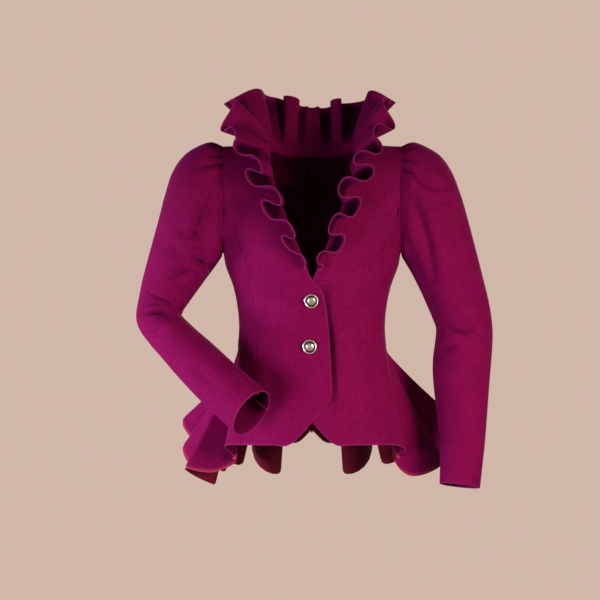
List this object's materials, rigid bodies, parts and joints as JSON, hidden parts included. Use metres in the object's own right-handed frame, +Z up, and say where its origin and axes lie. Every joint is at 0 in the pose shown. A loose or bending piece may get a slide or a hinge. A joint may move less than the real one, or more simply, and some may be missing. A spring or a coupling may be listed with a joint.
{
  "type": "swallowtail jacket",
  "caption": "Fitted wool jacket in its worn form, hollow and open at every end, with a ruffled collar and lapels, tucked sleeve heads, cut-away fronts and lined, fluted tails.",
  "frame": {"origin": "midway between the shoulder points, 4 mm below the level of the shoulder seams, where the wearer carries the jacket", "axes": "+Z up along the wearer's body, +X to the wearer's left, -Y the way the front faces"},
  "size_m": [0.635, 0.4863, 0.7117],
  "materials": {
    "wool": "plum-magenta fulled wool with a short nap and a soft sheen",
    "lining": "coral-crimson satin",
    "button": "antique silver, bright on the raised rim and dark in the groove"
  },
  "bodies": {
    "root": {"front_left": "wool", "side_front_left": "wool", "back_left": "wool", "tail_left": "wool", "upper_sleeve_left": "wool", "under_sleeve_left": "wool", "collar_ruffle_left": "wool", "front_right": "wool", "side_front_right": "wool", "back_right": "wool", "tail_right": "wool", "upper_sleeve_right": "wool", "under_sleeve_right": "wool", "collar_ruffle_right": "wool", "tail_lining_left": "lining", "tail_lining_right": "lining", "button_upper": "button", "button_lower": "button"}
  },
  "joints": []
}
